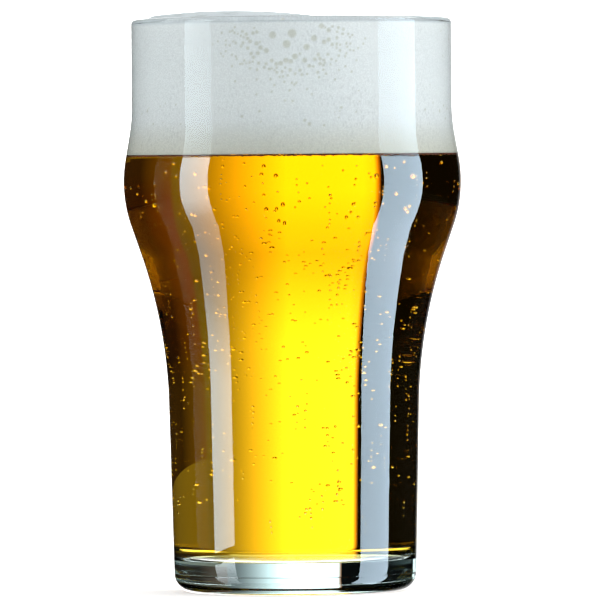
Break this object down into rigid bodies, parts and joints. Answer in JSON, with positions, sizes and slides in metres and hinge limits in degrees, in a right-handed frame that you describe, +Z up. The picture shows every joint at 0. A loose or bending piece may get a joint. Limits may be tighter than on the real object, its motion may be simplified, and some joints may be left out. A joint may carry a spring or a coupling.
{
  "type": "pint glass",
  "caption": "Bulged one-piece beer tumbler with a thick base, filled with golden beer under a white head of foam.",
  "frame": {"origin": "middle of the base, on the table that the tumbler stands on", "axes": "+Z up along the tumbler's axis, out of its mouth; +X to the right and +Y away from a person in front of it"},
  "size_m": [0.0892, 0.0892, 0.1532],
  "materials": {
    "clear_glass": "polished",
    "beer": "gloss",
    "foam": "matte"
  },
  "bodies": {
    "root": {"glass": "clear_glass", "beer": "beer", "foam_head": "foam"}
  },
  "joints": []
}
